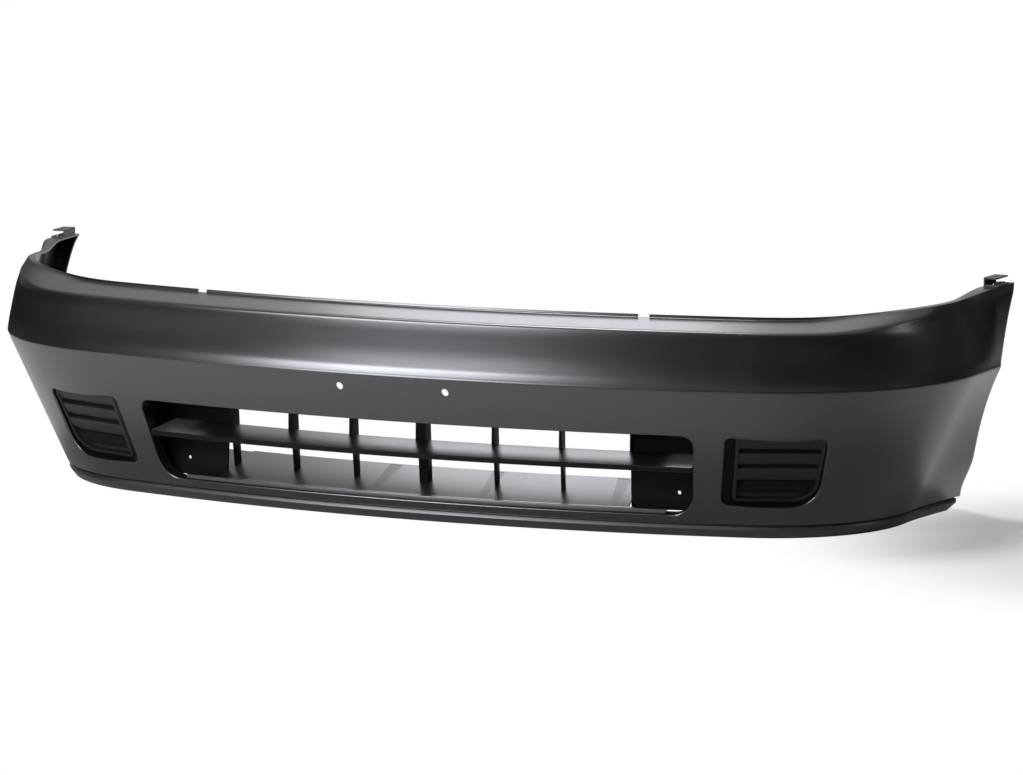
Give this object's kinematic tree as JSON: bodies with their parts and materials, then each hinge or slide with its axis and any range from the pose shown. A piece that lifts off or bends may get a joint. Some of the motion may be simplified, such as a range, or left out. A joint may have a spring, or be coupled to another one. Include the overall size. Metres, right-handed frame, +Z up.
{
  "type": "bumper cover",
  "caption": "Moulded front bumper cover with a bowed face, grille opening, louvred lamp blanks, lower lip and wing brackets, for the front of a car.",
  "frame": {"origin": "centre of the bounding box in plan, at the height of the lip's lower edge", "axes": "+X to the picture's right along the width, -Y out of the front face, +Z up"},
  "size_m": [1.7126, 0.5779, 0.389],
  "materials": {
    "skin": "satin black primed plastic",
    "lip": "fine grained black plastic",
    "clip": "plain black plastic",
    "pin": "plain black plastic",
    "grille": "satin black moulded plastic",
    "blank": "satin black moulded plastic",
    "rubber": "black rubber",
    "bracket": "black coated steel",
    "steel": "plated steel"
  },
  "bodies": {
    "cover": {"bumper_skin": "skin", "lower_lip": "lip", "lip_clips": "clip", "grille_insert": "grille", "grille_blank_left": "grille", "grille_blank_right": "grille", "grille_screws": "steel", "fog_grommets_left": "rubber", "fog_grommets_right": "rubber", "wing_bracket_left": "bracket", "wing_bracket_right": "bracket", "bracket_rivets_left": "steel", "bracket_rivets_right": "steel", "arch_nuts_left": "steel", "arch_nuts_right": "steel"},
    "blank_left": {"fog_cover_left": "blank"},
    "blank_right": {"fog_cover_right": "blank"},
    "pin_1": {"lip_pin_1": "pin"},
    "pin_2": {"lip_pin_2": "pin"},
    "pin_3": {"lip_pin_3": "pin"},
    "pin_4": {"lip_pin_4": "pin"}
  },
  "joints": [
    {"name": "fog_cover_left_pull", "type": "slide", "parent": "cover", "child": "blank_left", "axis": [-0.3262, -0.8516, -0.4104], "range_m": [0, 0.06]},
    {"name": "fog_cover_right_pull", "type": "slide", "parent": "cover", "child": "blank_right", "axis": [0.3262, -0.8516, -0.4104], "range_m": [0, 0.06]},
    {"name": "lip_pin_1_pull", "type": "slide", "parent": "cover", "child": "pin_1", "axis": [0, 0, -1], "range_m": [0, 0.008]},
    {"name": "lip_pin_2_pull", "type": "slide", "parent": "cover", "child": "pin_2", "axis": [0, 0, -1], "range_m": [0, 0.008]},
    {"name": "lip_pin_3_pull", "type": "slide", "parent": "cover", "child": "pin_3", "axis": [0, 0, -1], "range_m": [0, 0.008]},
    {"name": "lip_pin_4_pull", "type": "slide", "parent": "cover", "child": "pin_4", "axis": [0, 0, -1], "range_m": [0, 0.008]}
  ]
}
